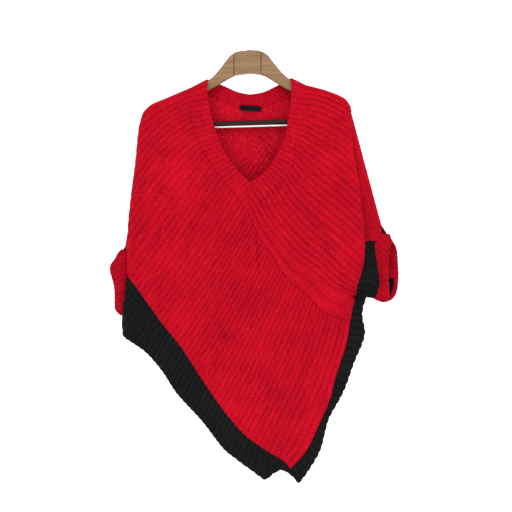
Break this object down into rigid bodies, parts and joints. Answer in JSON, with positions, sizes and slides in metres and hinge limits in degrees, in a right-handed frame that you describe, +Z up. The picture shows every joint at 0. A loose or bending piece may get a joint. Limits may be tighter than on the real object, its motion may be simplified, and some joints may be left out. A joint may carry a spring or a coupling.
{
  "type": "ribbed v-neck sweater on a hanger",
  "caption": "Chunky ribbed V-neck poncho sweater with a slanting pointed hem, contrast bands and turned-up short sleeves, hung on a wooden suit hanger.",
  "frame": {"origin": "where the rail touches the inside of the hook's top", "axes": "+X to the viewer's right across the shoulders, +Y from the front to the back, +Z up along the hanging garment"},
  "size_m": [0.679, 0.0683, 1.1127],
  "materials": {
    "red_knit": "chunky wool rib, matt with a soft fuzz",
    "charcoal_knit": "chunky wool rib, dark charcoal, matt",
    "label_cloth": "woven satin, blank",
    "hanger_wood": "satin varnish over brown wood",
    "bar_wood": "dark stained wood, satin",
    "pale_strip": "pale plastic grip strip",
    "hook_steel": "plated steel wire"
  },
  "bodies": {
    "root": {"front_left_panel": "red_knit", "front_right_panel": "red_knit", "back_left_panel": "red_knit", "back_right_panel": "red_knit", "neckband": "red_knit", "sleeve_right": "red_knit", "sleeve_left": "red_knit", "cuff_right": "red_knit", "cuff_left": "red_knit", "hem_band_front": "charcoal_knit", "hem_band_back": "charcoal_knit", "side_band_front": "charcoal_knit", "side_band_back": "charcoal_knit", "sleeve_band_right": "charcoal_knit", "sleeve_band_left": "charcoal_knit", "neck_label": "label_cloth", "hanger_body": "hanger_wood", "trouser_bar": "bar_wood", "bar_strip": "pale_strip", "hook": "hook_steel", "hook_collar": "hook_steel"}
  },
  "joints": []
}
